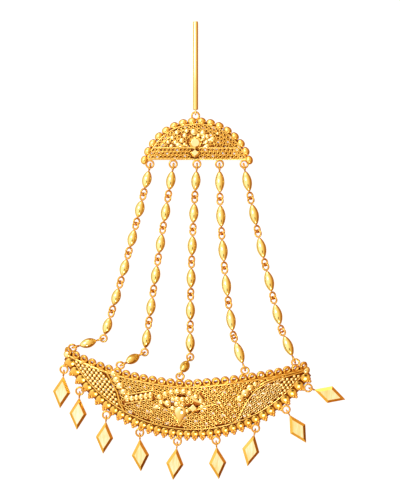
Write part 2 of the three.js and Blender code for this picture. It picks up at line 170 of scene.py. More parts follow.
# Flower of the crescent: (along, up, width) of bosses and of patches without net,
# (along, up, length, degrees turned) of leaves
BOSS_UPRIGHT = 0.6
SCALES = [
    (-21.0, -2.7, 2.3), (-20.1, -4.5, 2.5), (-19.0, -6.3, 2.5), (-17.8, -8.1, 2.3), (-16.7, -9.8, 2.0),
    (16.9, -7.8, 2.6), (18.3, -6.0, 2.7), (19.6, -4.3, 2.3), (21.1, -3.1, 1.7),
]
SCALE = {"relief": 0.3, "lift": 0.25, "clear": 0.45}
HORN_TIPS = [(-35.5, 1.7, 2.4), (36.2, 1.6, 2.4)]
OVALS = {"count": 6, "from": -9.7, "to": -16.6, "inner": -8.5, "outer": -10.3}
OVALS_CLEAR = {"aside": 1.55, "ends": 1.0}
OVAL = {"width": 1.55, "length": 2.6, "shrink": 0.5, "relief": 0.6, "lift": 0.25}
OVAL_WIRES = {"aside": 1.35, "ends": 0.7, "wire": 0.2, "lift": 0.3, "points": 16}
ARCH_BALLS = [
    (-7.0, -8.7), (-5.3, -7.7), (-3.55, -7.0), (-1.8, -6.6),
    (0.05, -6.5), (1.9, -6.9), (3.7, -7.9), (5.3, -9.2),
]
ARCH_BALL = {"width": 2.05, "relief": 0.8, "lift": 0.3}
BLOSSOM = {"at": (-0.95, -9.8), "lobes": 4, "reach": 1.1, "width": 2.0, "relief": 0.7, "lift": 0.35}
BLOSSOM_GRAIN = {"radius": 0.6, "lift": 0.9}
FLOWER_PETALS = [
    (-4.5, -10.5, 2.3), (-6.4, -10.3, 1.8), (-2.9, -12.0, 1.7),
    (1.5, -12.6, 1.5), (-3.0, -9.2, 1.5), (1.2, -8.8, 1.5),
]
FLOWER_PETAL = {"relief": 0.35, "lift": 0.25}
FLOWER_LEAVES = [(4.6, -8.7, 5.4, 55), (-7.6, -12.0, 3.2, -70), (6.6, -11.2, 3.2, 75)]
FLOWER_LEAF = {"relief": 0.6, "lift": 0.35, "upright": 0.85}
FLOWER_DROP = {"at": (-0.55, -13.9), "width": 4.0, "length": 6.0, "relief": 1.0}
FLOWER_DROP_SEAT = {"lift": 0.3, "upright": 0.1}
FLOWER_KITE = {"at": (3.1, -11.6), "width": 3.6, "length": 3.6, "sides": 4, "relief": 0.8, "table": 0.6}
FLOWER_KITE_LIFT = 0.3
FLOWER_CLEAR = [
    (-0.95, -9.8, 4.4), (-0.5, -14.0, 3.2), (3.1, -11.6, 3.6), (4.7, -8.7, 3.2), (-4.6, -10.5, 3.0),
]

# Gold: clouds of tint, and a polish whose marks are drawn out and turned
TINT_CLOUD = {"scale": 180, "detail": 3, "deep": 0.35, "light": 0.65}
POLISH = {"detail": 4, "turn": math.radians(-25), "smoothest": 0.6, "roughest": 1.4, "depth": 0.04}

# Surround mirrored in the gold: tones from its dark side to its bright one, its ground and a dark spot
SKY_BRIGHT_SIDE = Vector((-0.67, 0.20, 0.55))
SKY_TONES = [
    (0.08, (0.02, 0.008, 0.004)), (0.165, (0.08, 0.03, 0.01)), (0.215, (0.52, 0.24, 0.06)),
    (0.48, (0.76, 0.51, 0.22)), (0.62, (0.88, 0.68, 0.38)), (0.71, (0.92, 0.75, 0.48)),
    (0.775, (0.95, 0.83, 0.62)), (0.84, (1.0, 0.98, 0.94)), (0.95, (1.0, 1.0, 1.0)),
]
SKY_STRENGTH = 1.3
SKYLINE = (-0.10, 0.22)
GROUND_TONES = {"left": (0.70, 0.58, 0.30), "right": (0.40, 0.16, 0.03)}
GROUND_CHANGE = (-0.50, 0.0)
DARK_SPOT = {"towards": Vector((0.10, -0.38, 0.92)), "edge": (0.976, 0.992), "tone": (0.10, 0.05, 0.015)}
LIGHTS = [
    {"name": "left_sparkle", "place": (-0.30, 0.22, 0.55), "size": 0.24, "power": 1.2},
    {"name": "front_sparkle", "place": (0.06, -0.50, 0.42), "size": 0.12, "power": 0.5},
    {"name": "back_glow", "place": (-0.12, 0.55, 0.20), "size": 0.30, "power": 0.5},
]

# Floor and camera
FLOOR = {"half_size": 1.5, "grey": (0.25, 0.25, 0.25), "glow": 0.93, "roughness": 0.9, "specular": 0.1}
PAPER = {"scale": 40, "detail": 2}
FLOOR_TONES = [(0.0, (0.97, 0.97, 0.97)), (1.0, (1.0, 1.0, 1.0))]
CAMERA = {"lens": 100, "sensor": 36, "picture_height": 0.150, "floor_to_wire": 0.0015}
AIM_FROM_ROD_END = (1.36, -68.6)


# Shapes
def template(bm, smooth=True):
    """A finished shape as mesh data, to be stamped many times."""
    for face in bm.faces:
        face.smooth = smooth
    mesh = bpy.data.meshes.new("template")
    bm.to_mesh(mesh)
    bm.free()
    return mesh


def spun(bm, axis, steps):
    """The outline turned once round an axis through the middle, as one closed skin."""
    outline = bm.verts[:] + bm.edges[:]
    bmesh.ops.spin(bm, geom=outline, cent=(0, 0, 0), axis=axis, angle=TURN, steps=steps, use_merge=True)
    bmesh.ops.remove_doubles(bm, verts=bm.verts, dist=TINY)
    bmesh.ops.recalc_face_normals(bm, faces=bm.faces)
    return template(bm)


def wire_ring(radius, wire, steps=24, sides=10):
    """A closed ring of round wire in the XY plane."""
    bm = bmesh.new()
    section = Matrix.Translation((radius, 0, 0)) @ Matrix.Rotation(math.pi / 2, 4, "X")
    bmesh.ops.create_circle(bm, cap_ends=False, radius=wire, segments=sides, matrix=section)
    return spun(bm, UP, steps)


def marquise_bead(half_length):
    """A smooth bead pointed at both ends, its axis along Y."""
    bm = bmesh.new()
    rail = []
    for row in range(BEAD["rows"] + 1):
        share = 2 * row / BEAD["rows"] - 1
        radius = BEAD["radius"] * math.cos(math.pi / 2 * share) ** BEAD["fullness"]
        rail.append(bm.verts.new((max(radius, 0.0), share * half_length, 0)))
    for low, high in zip(rail, rail[1:]):
        bm.edges.new((low, high))
    return spun(bm, (0, 1, 0), BEAD["sides"])


def grain(radius):
    """A small ball."""
    bm = bmesh.new()
    bmesh.ops.create_icosphere(bm, subdivisions=2, radius=radius)
    return template(bm)


def dome(width, length, height, segments=14, rows=8):
    """A cushion-shaped boss, round or oval."""
    bm = bmesh.new()
    bmesh.ops.create_uvsphere(bm, u_segments=segments, v_segments=rows, radius=1)
    bmesh.ops.scale(bm, vec=(width / 2, length / 2, height), verts=bm.verts)
    return template(bm)


def round_edges(bm, edges, offset, segments=2):
    """Rounds off some edges of a shape."""
    bmesh.ops.bevel(
        bm, geom=edges, offset=offset, affect="EDGES", segments=segments, profile=0.5, material=-1
    )


def coin(radius, height):
    """A flat disc with a rounded rim, its lower face at zero."""
    bm = bmesh.new()
    bmesh.ops.create_cone(
        bm, cap_ends=True, segments=COIN["sides"], radius1=radius, radius2=radius, depth=height
    )
    round_edges(bm, bm.edges[:], COIN["rim"] * height)
    bmesh.ops.translate(bm, vec=(0, 0, height / 2), verts=bm.verts)
    return template(bm)


def teardrop(width, length, height):
    """A petal pointed at its lower end, crowned along the middle."""
    bm = bmesh.new()
    bmesh.ops.create_uvsphere(bm, u_segments=20, v_segments=12, radius=1)
    for vert in bm.verts:
        share = max(0.0, (vert.co.y + 1) / 2)
        vert.co.x *= share ** TEARDROP["taper"]
        vert.co.z *= TEARDROP["point_height"] + (1 - TEARDROP["point_height"]) * share
    half_breadth = width / 2 * TEARDROP["breadth"]
    bmesh.ops.scale(bm, vec=(half_breadth, length / 2, height), verts=bm.verts)
    return template(bm)


def extruded_verts(bm, faces):
    """The corners of a copy of some faces, drawn out from them."""
    drawn = bmesh.ops.extrude_face_region(bm, geom=faces)["geom"]
    return [part for part in drawn if isinstance(part, bmesh.types.BMVert)]


def facet_cut(width, length, sides, relief, table):
    """A boss with a flat table and one row of facets round it."""
    bm = bmesh.new()
    bmesh.ops.create_circle(bm, cap_ends=True, radius=1, segments=sides)
    bmesh.ops.scale(bm, vec=(width / 2, length / 2, 1), verts=bm.verts)
    top = extruded_verts(bm, bm.faces[:])
    bmesh.ops.scale(bm, vec=(table, table, 1), verts=top)
    bmesh.ops.translate(bm, vec=(0, 0, relief), verts=top)
    bmesh.ops.recalc_face_normals(bm, faces=bm.faces)
    round_edges(bm, bm.edges[:], FACET_EDGE)
    return template(bm, smooth=False)


def rhombus_body():
    """The drop's bevelled rhombus, hanging along -Y from its upper point, its middle plane at zero."""
    bm = bmesh.new()
    half_width = DROP["width"] / 2
    half_length = DROP["length"] / 2
    inner_radius = half_width * half_length / math.hypot(half_width, half_length)
    table = 1 - DROP["bevel"] / inner_radius
    slope = (DROP["thickness"] - DROP["girdle"]) / 2
    bmesh.ops.create_circle(bm, cap_ends=True, radius=1, segments=4)
    bmesh.ops.scale(bm, vec=(half_width, half_length, 1), verts=bm.verts)
    bmesh.ops.translate(bm, vec=(0, 0, -DROP["girdle"] / 2), verts=bm.verts)
    girdle = extruded_verts(bm, bm.faces[:])
    bmesh.ops.translate(bm, vec=(0, 0, DROP["girdle"]), verts=girdle)
    bmesh.ops.recalc_face_normals(bm, faces=bm.faces)
    for direction in (1, -1):
        flat = [face for face in bm.faces if face.normal.z * direction > LEVEL_NORMAL]
        moved = extruded_verts(bm, flat)
        bmesh.ops.delete(bm, geom=[face for face in flat if face.is_valid], context="FACES_ONLY")
        bmesh.ops.scale(bm, vec=(table, table, 1), verts=moved)
        bmesh.ops.translate(bm, vec=(0, 0, direction * slope), verts=moved)
        bmesh.ops.recalc_face_normals(bm, faces=bm.faces)
    round_edges(bm, bm.edges[:], DROP["edge"])
    bmesh.ops.translate(bm, vec=(0, -half_length, 0), verts=bm.verts)
    # Level faces take the paler gold as painted highlight, sloped ones the darker gold as painted shade.
    for face in bm.faces:
        level = abs(face.normal.z) > LEVEL_NORMAL
        face.material_index = DROP_LIT_AND_SHADED_SLOTS["table" if level else "bevel"]
    return template(bm, smooth=False)


# Putting shapes together
def stamp(bm, shape, place, tone=0):
    """A copy of a shape in its place, in the piece's first or second gold, or its own if tone is None."""
    copy = shape.copy()
    copy.transform(place)
    if tone is not None:
        copy.polygons.foreach_set("material_index", [tone] * len(copy.polygons))
    bm.from_mesh(copy)
    bpy.data.meshes.remove(copy)


def lay_wire(bm, points, radius):
    """A round wire along a line of points."""
    curve = bpy.data.curves.new("wire", "CURVE")
    curve.dimensions = "3D"
    curve.bevel_depth = radius
    curve.bevel_resolution = 2
    curve.use_fill_caps = True
    spline = curve.splines.new("POLY")
    spline.points.add(len(points) - 1)
    for knot, point in zip(spline.points, points):
        knot.co = (*point, 1)
    holder = bpy.data.objects.new("wire", curve)
    mesh = bpy.data.meshes.new_from_object(holder)
    mesh.shade_smooth()
    bm.from_mesh(mesh)
    bpy.data.objects.remove(holder)
    bpy.data.curves.remove(curve)
    bpy.data.meshes.remove(mesh)


def finished(bm, name, golds, node, place):
    """The shape, in millimetres in its own frame, as a piece in the shared frame."""
    bmesh.ops.transform(bm, matrix=place @ Matrix.Scale(MM, 4), verts=bm.verts)
    mesh = bpy.data.meshes.new(name)
    bm.to_mesh(mesh)
    bm.free()
    for material in golds:
        mesh.materials.append(material)
    piece = bpy.data.objects.new(name, mesh)
    bpy.context.scene.collection.objects.link(piece)
    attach(piece, "root")
    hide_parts(node)


def seat(height_at, x, y, lift=0.0, turn=0.0, upright=0.0):
    """Place on a curved plate: Z along its normal, or a share of the way upright, lifted and turned."""
    step = 0.05
    slope_x = (height_at(x + step, y) - height_at(x - step, y)) / (2 * step)
    slope_y = (height_at(x, y + step) - height_at(x, y - step)) / (2 * step)
    normal = Vector((-slope_x, -slope_y, 1)).normalized().lerp(UP, upright).normalized()
    lean = UP.rotation_difference(normal).to_matrix().to_4x4()
    point = Vector((x, y, height_at(x, y))) + lift * normal
    return Matrix.Translation(point) @ lean @ Matrix.Rotation(turn, 4, "Z")


def clear_of(patches, x, y):
    """True outside all of the round patches, given as (x, y, width)."""
    return all(math.hypot(x - at_x, y - at_y) > width / 2 for at_x, at_y, width in patches)


def pierce(bm, every, shows_net):
    """Opens one cell in so many of a backing sheet, where the net lies over it."""
    bm.faces.index_update()
    cells = [face for face in bm.faces if face.index % every == 0]
    middles = [face.calc_center_median() for face in cells]
    open_cells = [face for face, middle in zip(cells, middles) if shows_net(middle.x, middle.y)]
    bmesh.ops.delete(bm, geom=open_cells, context="FACES")


def thicken(bm):
    """Gives a backing sheet its thickness."""
    bmesh.ops.solidify(bm, geom=bm.faces[:], thickness=SHEET_THICKNESS)
    for face in bm.faces:
        face.smooth = True


def node_points(name):
    """The corners of a solid, in millimetres."""
    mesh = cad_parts[name].data
    points = np.zeros(len(mesh.vertices) * 3)
    mesh.vertices.foreach_get("co", points)
    return points.reshape(-1, 3) / MM


# Shader parts
def noise(nodes, scale, detail):
    """Clouds of a given fineness and detail."""
    texture = nodes.new("ShaderNodeTexNoise")
    texture.inputs["Scale"].default_value = scale
    texture.inputs["Detail"].default_value = detail
    return texture


def tone_ramp(nodes, stops):
    """A colour ramp through (position, colour) stops."""
    node = nodes.new("ShaderNodeValToRGB")
    elements = node.color_ramp.elements
    while len(elements) < len(stops):
        elements.new(1.0)
    for element, (position, colour) in zip(elements, stops):
        element.position = position
        element.color = (*colour, 1)
    return node


def share_between(nodes, low, high):
    """The share, from nought to one, of the way from a low value to a high one."""
    node = nodes.new("ShaderNodeMapRange")
    node.inputs["From Min"].default_value = low
    node.inputs["From Max"].default_value = high
    return node


def tone_mix(nodes):
    """A mix of two colours."""
    node = nodes.new("ShaderNodeMix")
    node.data_type = "RGBA"
    return node


# Gold
def gold(name, tint, deep, roughness, grain_size, wear, streak=1.0):
    """Polished gold: slow change of tint, uneven polish and rubbing marks, which streak draws out."""
    material = bpy.data.materials.new(name)
    material.use_nodes = True
    nodes = material.node_tree.nodes
    links = material.node_tree.links
    shader = nodes["Principled BSDF"]
    shader.inputs["Metallic"].default_value = 1.0
    place = nodes.new("ShaderNodeTexCoord")
    cloud = noise(nodes, TINT_CLOUD["scale"], TINT_CLOUD["detail"])
    tone = tone_ramp(nodes, [(TINT_CLOUD["deep"], deep), (TINT_CLOUD["light"], tint)])
    drawn = nodes.new("ShaderNodeMapping")
    drawn.inputs["Rotation"].default_value = (0, 0, POLISH["turn"])
    drawn.inputs["Scale"].default_value = (1, 1 / streak, 1)
    polish = noise(nodes, grain_size, POLISH["detail"])
    rough = nodes.new("ShaderNodeMapRange")
    rough.inputs["To Min"].default_value = roughness * POLISH["smoothest"]
    rough.inputs["To Max"].default_value = roughness * POLISH["roughest"]
    bump = nodes.new("ShaderNodeBump")
    bump.inputs["Distance"].default_value = wear * POLISH["depth"] * MM
    links.new(place.outputs["Object"], cloud.inputs["Vector"])
    links.new(place.outputs["Object"], drawn.inputs["Vector"])
    links.new(drawn.outputs["Vector"], polish.inputs["Vector"])
    links.new(cloud.outputs["Fac"], tone.inputs["Fac"])
    links.new(tone.outputs["Color"], shader.inputs["Base Color"])
    links.new(polish.outputs["Fac"], rough.inputs["Value"])
    links.new(rough.outputs["Result"], shader.inputs["Roughness"])
    links.new(polish.outputs["Fac"], bump.inputs["Height"])
    links.new(bump.outputs["Normal"], shader.inputs["Normal"])
    return material


POLISHED = gold("polished_gold", (0.93, 0.77, 0.33), (0.88, 0.70, 0.26), 0.07, 1400, 0.08)
# A paler copy of the gold for the drops' level tables: painted highlight.
LIT_TABLE_GOLD = gold("drop_painted_highlight_gold", (1.0, 0.86, 0.62), (0.95, 0.72, 0.36), 0.06, 700, 4.0, 6.0)
# A darker copy of the gold for the drops' sloped bevels: painted shade.
SHADED_BEVEL_GOLD = gold("bevel_painted_shade_gold", (0.90, 0.55, 0.11), (0.80, 0.46, 0.07), 0.05, 900, 0.1)
# A darker copy of the gold for rings, eyes, loops and disc grains: painted shade.
SHADED_RING_GOLD = gold("ring_painted_shade_gold", (0.82, 0.48, 0.11), (0.70, 0.37, 0.065), 0.10, 1400, 0.1)
# A darker copy of the gold for the cap's net and the border discs: painted shade.
SHADED_GOLD = gold("painted_shade_gold", (0.86, 0.56, 0.14), (0.78, 0.46, 0.095), 0.12, 1800, 0.3)
# A paler copy of the gold for bosses, petals, leaves, granules and net grains: painted highlight.
LIT_GOLD = gold("painted_highlight_gold", (0.97, 0.80, 0.42), (0.92, 0.72, 0.32), 0.06, 900, 0.1)
FILIGREE = gold("filigree_gold", (0.93, 0.66, 0.21), (0.86, 0.56, 0.15), 0.10, 2600, 0.25)
# A dark red-brown copy of the gold for the sheets below the nets: painted shade.
SHADE_SHEET_GOLD = gold("painted_shade_sheet_gold", (0.42, 0.14, 0.025), (0.24, 0.065, 0.012), 0.42, 2200, 0.5)


# Hair rod
def hair_rod():
    """Round rod with a rounded rim and an eye at its lower end."""
    low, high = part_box("hair_rod")
    middle = (low + high) / 2 / MM
    radius = (high.x - low.x) / 2 / MM
    eye_at = low.y / MM + ROD_EYE["radius"] + ROD_EYE["wire"]
    start = eye_at + ROD_EYE["radius"]
    length = high.y / MM - start
    bm = bmesh.new()
    along = Matrix.Translation((0, start + length / 2, 0)) @ Matrix.Rotation(-math.pi / 2, 4, "X")
    bmesh.ops.create_cone(
        bm, cap_ends=True, segments=ROD["sides"], radius1=radius, radius2=radius, depth=length, matrix=along
    )
    for face in bm.faces:
        face.smooth = len(face.verts) == 4
    rims = [edge for edge in bm.edges if abs(edge.verts[0].co.y - edge.verts[1].co.y) < TINY]
    round_edges(bm, rims, ROD["rim"], segments=3)
    eye = wire_ring(ROD_EYE["radius"], ROD_EYE["wire"])
    stamp(bm, eye, Matrix.Translation((0, eye_at, 0)) @ Matrix.Rotation(math.pi / 2, 4, "Y"))
    place = Matrix.Translation((middle.x * MM, 0, middle.z * MM))
    finished(bm, "polished_rod", [POLISHED], "hair_rod", place)


# Bead links
def link_frame(points):
    """Middle, direction, reach and the two eyes' sideways directions of a link, from its solid."""
    middle = points.mean(0)
    direction = np.linalg.svd(points - middle, full_matrices=False)[2][0]
    if direction[1] < 0:
        direction = -direction
    along = (points - middle) @ direction
    middle = middle + direction * (along.min() + along.max()) / 2
    along = (points - middle) @ direction
    reach = along.max()
    sideways = []
    for end in (1, -1):
        eye = points[along * end > reach - LINK_EYE["zone"]] - middle
        flat = eye - np.outer(eye @ direction, direction)
        sideways.append(np.linalg.svd(flat, full_matrices=False)[2][0])
    return Vector(middle), Vector(direction), reach, [Vector(side) for side in sideways]


def turned(side, direction):
    """A turn that puts X sideways and Y along a link."""
    return Matrix((side, direction, side.cross(direction))).transposed().to_4x4()


def bead_link(node, eye):
    """A bead between two eyes, set along the link's solid."""
    middle, direction, reach, sideways = link_frame(node_points(node))
    eye_at = reach - LINK_EYE["radius"] - SOLID_WIRE
    bm = bmesh.new()
    stamp(bm, marquise_bead(eye_at - BEAD["tip_in_eye"]), turned(sideways[0], direction))
    # The eyes take the darker ring gold, as painted shade.
    for end, side in zip((1, -1), sideways):
        stamp(bm, eye, Matrix.Translation(direction * end * eye_at) @ turned(side, direction), PAINTED_LIGHT_SLOT)
    place = Matrix.Translation(middle * MM)
    finished(bm, "polished_" + node, [POLISHED, SHADED_RING_GOLD], node, place)


def bead_chains():
    """The links of all five chains."""
    eye = wire_ring(LINK_EYE["radius"], DRAWN_WIRE)
    for node in sorted(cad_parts):
        if node.startswith("chain_"):
            bead_link(node, eye)


# Rhombus drops
def rhombus_drop(node, body, eye):
    """A rhombus below an upright eye, lying as its solid lies."""
    points = node_points(node)
    top = points[:, 2].max()
    eye_centre = points[points[:, 2] > top - DROP_EYE["top_slice"]].mean(0)
    eye_centre[2] = top - DROP_EYE["radius"] - DROP_EYE["wire"]
    far = points[np.argmax(np.linalg.norm((points - eye_centre)[:, :2], axis=1))]
    down = Vector(far - eye_centre)
    turn = math.atan2(down.x, -down.y)
    body_at = Matrix.Translation((0, -DROP_EYE["neck"], DROP["thickness"] / 2 - eye_centre[2]))
    bm = bmesh.new()
    # The eye takes the darker ring gold, as painted shade.
    stamp(bm, eye, Matrix.Rotation(math.pi / 2, 4, "Y"), DROP_LIT_AND_SHADED_SLOTS["eye"])
    stamp(bm, body, body_at, None)
    place = Matrix.Translation(Vector(eye_centre) * MM) @ Matrix.Rotation(turn, 4, "Z")
    finished(bm, "polished_" + node, [LIT_TABLE_GOLD, SHADED_RING_GOLD, SHADED_BEVEL_GOLD], node, place)


def rhombus_drops():
    """All nine drops."""
    body = rhombus_body()
    eye = wire_ring(DROP_EYE["radius"], DROP_EYE["wire"])
    for node in sorted(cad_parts):
        if node.startswith("drop_"):
            rhombus_drop(node, body, eye)


# Half-moon cap
def cap_height(x, y):
    """Height of the domed cap above the floor."""
    across = max(0.0, 1 - (x / CAP_HEIGHT["corner"]) ** 2)
    along = y / (CAP_ARC["radius"] - CAP_ARC["drop"])
    rise = 4 * max(0.0, along * (1 - along))
    return CAP_HEIGHT["edge"] + CAP_HEIGHT["half_thickness"] + CAP_HEIGHT["dome"] * across * rise


def cap_piece(bm, name, golds):
    """A finished piece of the cap, set on the middle of its straight edge."""
    low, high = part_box("cap_plate")
    place = Matrix.Translation(((low.x + high.x) / 2, low.y - CAP_LOWEST * MM, 0))
    finished(bm, name, golds, "cap_plate", place)


def cap_arc(radius, degrees):
    """A point on an arc of the cap."""
    angle = math.radians(degrees)
    return radius * math.cos(angle), radius * math.sin(angle) - CAP_ARC["drop"]


def shows_cap_net(x, y):
    """True outside the petals and the other patches without net."""
    return clear_of(CAP_PETALS + CAP_CLEAR, x, y)


def cap_shade_backing():
    """Sheet below the net of the cap, dark as painted shade between its rings."""
    bm = bmesh.new()
    across, up = CAP_SHEET["cells"]
    bmesh.ops.create_grid(bm, x_segments=across, y_segments=up, size=1)
    for vert in bm.verts:
        x = vert.co.x * CAP_SHEET["half_width"]
        top = math.sqrt(CAP_SHEET["radius"] ** 2 - x ** 2) - CAP_ARC["drop"]
        y = CAP_SHEET["low"] + (vert.co.y + 1) / 2 * (top - CAP_SHEET["low"])
        vert.co = (x, y, cap_height(x, y) - CAP_SHEET["below"])
    pierce(bm, OPENING_EVERY["cap"], shows_cap_net)
    thicken(bm)
    cap_piece(bm, "cap_shade_backing", [SHADE_SHEET_GOLD])


def cap_balls(bm):
    """Balls along the arc."""
    ball = dome(CAP_BALL["width"], 2 * CAP_BALL["radius"], CAP_BALL["radius"], segments=18, rows=12)
    for i in range(CAP_BALL["count"]):
        degrees = 90 + (i - (CAP_BALL["count"] - 1) / 2) * CAP_BALL["pitch"]
        x, y = cap_arc(CAP_ARC["radius"], degrees)
        turn = Matrix.Rotation(math.radians(degrees - 90), 4, "Z")
        stamp(bm, ball, Matrix.Translation((x, y, CAP_BALL["radius"])) @ turn)


def cap_wire(bm, line, wire):
    """A wire sunk a little in the cap, along a line of points."""
    lay_wire(bm, [(x, y, cap_height(x, y) - CAP_WIRE_SUNK) for x, y in line], wire)


def cap_frame():
    """Ball border, border wires and the rings of the rod and the chains."""
    bm = bmesh.new()
    cap_balls(bm)
    for arc in CAP_ARC_WIRES:
        start = math.degrees(math.asin((CAP_ARC["drop"] + CAP_ARC_WIRE_LOW) / arc["radius"]))
        angles = np.linspace(start, 180 - start, CAP_WIRE_POINTS["arc"])
        cap_wire(bm, [cap_arc(arc["radius"], degrees) for degrees in angles], arc["wire"])
    for bar in CAP_STRAIGHT_WIRES:
        along = np.linspace(-bar["reach"], bar["reach"], CAP_WIRE_POINTS["straight"])
        cap_wire(bm, [(x, bar["up"]) for x in along], CAP_STRAIGHT_WIRE)
    # The rings take the darker ring gold, as painted shade.
    ring = wire_ring(RING_RADIUS, DRAWN_WIRE)
    stamp(bm, ring, Matrix.Translation(CAP_TOP_RING), PAINTED_LIGHT_SLOT)
    for along in CAP_RINGS["along"]:
        at = Matrix.Translation((along, CAP_RINGS["below"], CAP_RINGS["height"]))
        stamp(bm, ring, at, PAINTED_LIGHT_SLOT)
    cap_piece(bm, "cap_frame", [FILIGREE, SHADED_RING_GOLD])


def cap_net_places():
    """Rows along the straight edge, then rows along the arc above them."""
    band = CAP_NET_BAND
    for row in range(band["rows"]):
        for column in range(-band["columns"], band["columns"] + 1):
            x = (column + 0.5 * (row % 2)) * NET["pitch"]
            if abs(x) < band["reach"]:
                yield x, band["low"] + row * NET["row"]
    for row in range(CAP_NET_ARCS["rows"]):
        radius = CAP_NET_ARCS["radius"] - row * NET["row"]
        count = int(math.pi * radius / NET["pitch"])
        for k in range(count):
            x, y = cap_arc(radius, 180 * (k + 0.5 * (row % 2)) / count)
            if y > CAP_NET_ARCS["low"]:
                yield x, y


def cap_net():
    """Small rings over the whole cap, round its flower."""
    bm = bmesh.new()
    mesh_ring = wire_ring(NET["ring"], NET["wire"], steps=10, sides=6)
    for x, y in cap_net_places():
        if shows_cap_net(x, y):
            stamp(bm, mesh_ring, seat(cap_height, x, y, -CAP_NET_SUNK))
    # The net takes the darker copy of the gold, as painted shade.
    cap_piece(bm, "cap_net", [SHADED_GOLD])


def faceted(boss):
    """A boss with a flat table, from its named sizes."""
    return facet_cut(boss["width"], boss["length"], boss["sides"], boss["relief"], boss["table"])


def cap_flower():
    """Faceted centre with a kite below it, round petals above and leaves on both sides."""
    bm = bmesh.new()
    # Centre, kite, petals and leaves take the paler gold, as painted highlight.
    stamp(bm, faceted(CAP_CENTRE), seat(cap_height, *CAP_CENTRE["at"], -CAP_FLOWER_SUNK), PAINTED_LIGHT_SLOT)
    kite_at = seat(cap_height, *CAP_KITE["at"], -CAP_FLOWER_SUNK, upright=1)
    stamp(bm, faceted(CAP_KITE), kite_at, PAINTED_LIGHT_SLOT)
    for x, y, width in CAP_PETALS:
        petal = dome(width, width, CAP_PETAL_RELIEF * width)
        stamp(bm, petal, seat(cap_height, x, y, -CAP_FLOWER_SUNK), PAINTED_LIGHT_SLOT)
    for x, y, length, degrees in CAP_LEAVES:
        leaf = teardrop(LEAF_WIDTH * length, length, CAP_LEAF_RELIEF)
        stamp(bm, leaf, seat(cap_height, x, y, -CAP_FLOWER_SUNK, math.radians(degrees)), PAINTED_LIGHT_SLOT)
    cap_piece(bm, "cap_flower", [FILIGREE, LIT_GOLD])


# Crescent plate
def lower_line(u):
    """The lower edge at a place along the chord."""
    aside = u - LOWER_LINE["middle"]
    return LOWER_LINE["centre"] - math.sqrt(LOWER_LINE["radius"] ** 2 - aside ** 2)


def upper_line(u):
    """The upper edge at a place along the chord, a little fuller on the right."""
    share = min(max(u / UPPER_LINE["swell_span"], 0.0), 1.0)
    swell = UPPER_LINE["swell"] * math.sin(math.pi * share)
    return UPPER_LINE["centre"] - math.sqrt(UPPER_LINE["radius"] ** 2 - u ** 2) + swell


def crescent_height(u, v):
    """Height above the floor of the plate, which leans up from its lower edge."""
    return EDGE_HEIGHT + LEAN * max(0.0, v - lower_line(u))


def crescent_piece(bm, name, golds):
    """A finished piece of the crescent, set on the middle of its chord and tilted with it."""
    low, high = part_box("crescent_plate")
    middle = (low + high) / 2
    origin = (middle.x + CRESCENT_FROM_BOX[0] * MM, middle.y + CRESCENT_FROM_BOX[1] * MM, 0)
    place = Matrix.Translation(origin) @ Matrix.Rotation(CRESCENT_TILT, 4, "Z")
    finished(bm, name, golds, "crescent_plate", place)


def on_lower(degrees, inside):
    """A point inside the lower edge, by its angle from the middle."""
    angle = math.radians(degrees)
    radius = LOWER_LINE["radius"] - inside
    return LOWER_LINE["middle"] + radius * math.sin(angle), LOWER_LINE["centre"] - radius * math.cos(angle)


def on_upper(degrees, inside):
    """A point inside the upper edge, by its angle from the middle."""
    angle = math.radians(degrees)
    u = UPPER_LINE["radius"] * math.sin(angle)
    return u + inside * math.sin(angle), upper_line(u) - inside * math.cos(angle)


def inside_lower(u, v):
    """How far a point lies inside the lower border."""
    return LOWER_LINE["radius"] - math.hypot(u - LOWER_LINE["middle"], LOWER_LINE["centre"] - v)


def leaf_panel_top(u):
    """The upper wire of the leaf panel in the right horn."""
    along, up = zip(*LEAF_PANEL_LINE)
    return float(np.interp(u, along, up))


def horn_panel_edge(v):
    """The wire that ends the granules of the left horn."""
    along, up = zip(*HORN_PANEL_LINE)
    return float(np.interp(v, up, along))


def oval_line(u):
    """The middle line of the row of ovals."""
    share = (u - OVALS["from"]) / (OVALS["to"] - OVALS["from"])
    return OVALS["inner"] + share * (OVALS["outer"] - OVALS["inner"])


def in_leaf_panel(u, v):
    """True below the leaf panel's upper wire."""
    return v < leaf_panel_top(u) - LEAF_PANEL["inside"]


def near_ovals(u, v):
    """True in the strip without net round the row of ovals."""
    within = OVALS["to"] - OVALS_CLEAR["ends"] < u < OVALS["from"] + OVALS_CLEAR["ends"]
    return within and abs(v - oval_line(u)) < OVALS_CLEAR["aside"]


def shows_crescent_net(u, v):
    """True where rings lie: clear of the borders, the granules and the flower."""
    if inside_lower(u, v) < CRESCENT_NET["border"] or abs(u) > CRESCENT_NET["reach"]:
        return False
    if u < horn_panel_edge(v) + HORN_PANEL["outside"]:
        return False
    if u > LEAF_PANEL["left"] and v < leaf_panel_top(u) + LEAF_PANEL["band"]:
        return u < LEAF_PANEL["tip"] and in_leaf_panel(u, v)
    scales = [(at_u, at_v, 2 * SCALE["clear"] * width) for at_u, at_v, width in SCALES]
    return not near_ovals(u, v) and clear_of(scales + FLOWER_CLEAR, u, v)


def shows_openings(u, v):
    """True under the net and under the granules of the left horn."""
    below_edge = v < upper_line(u) - HORN_PANEL["openings_below_edge"]
    left_horn = u < horn_panel_edge(v) and below_edge
    return inside_lower(u, v) > CRESCENT_NET["border"] and (left_horn or shows_crescent_net(u, v))


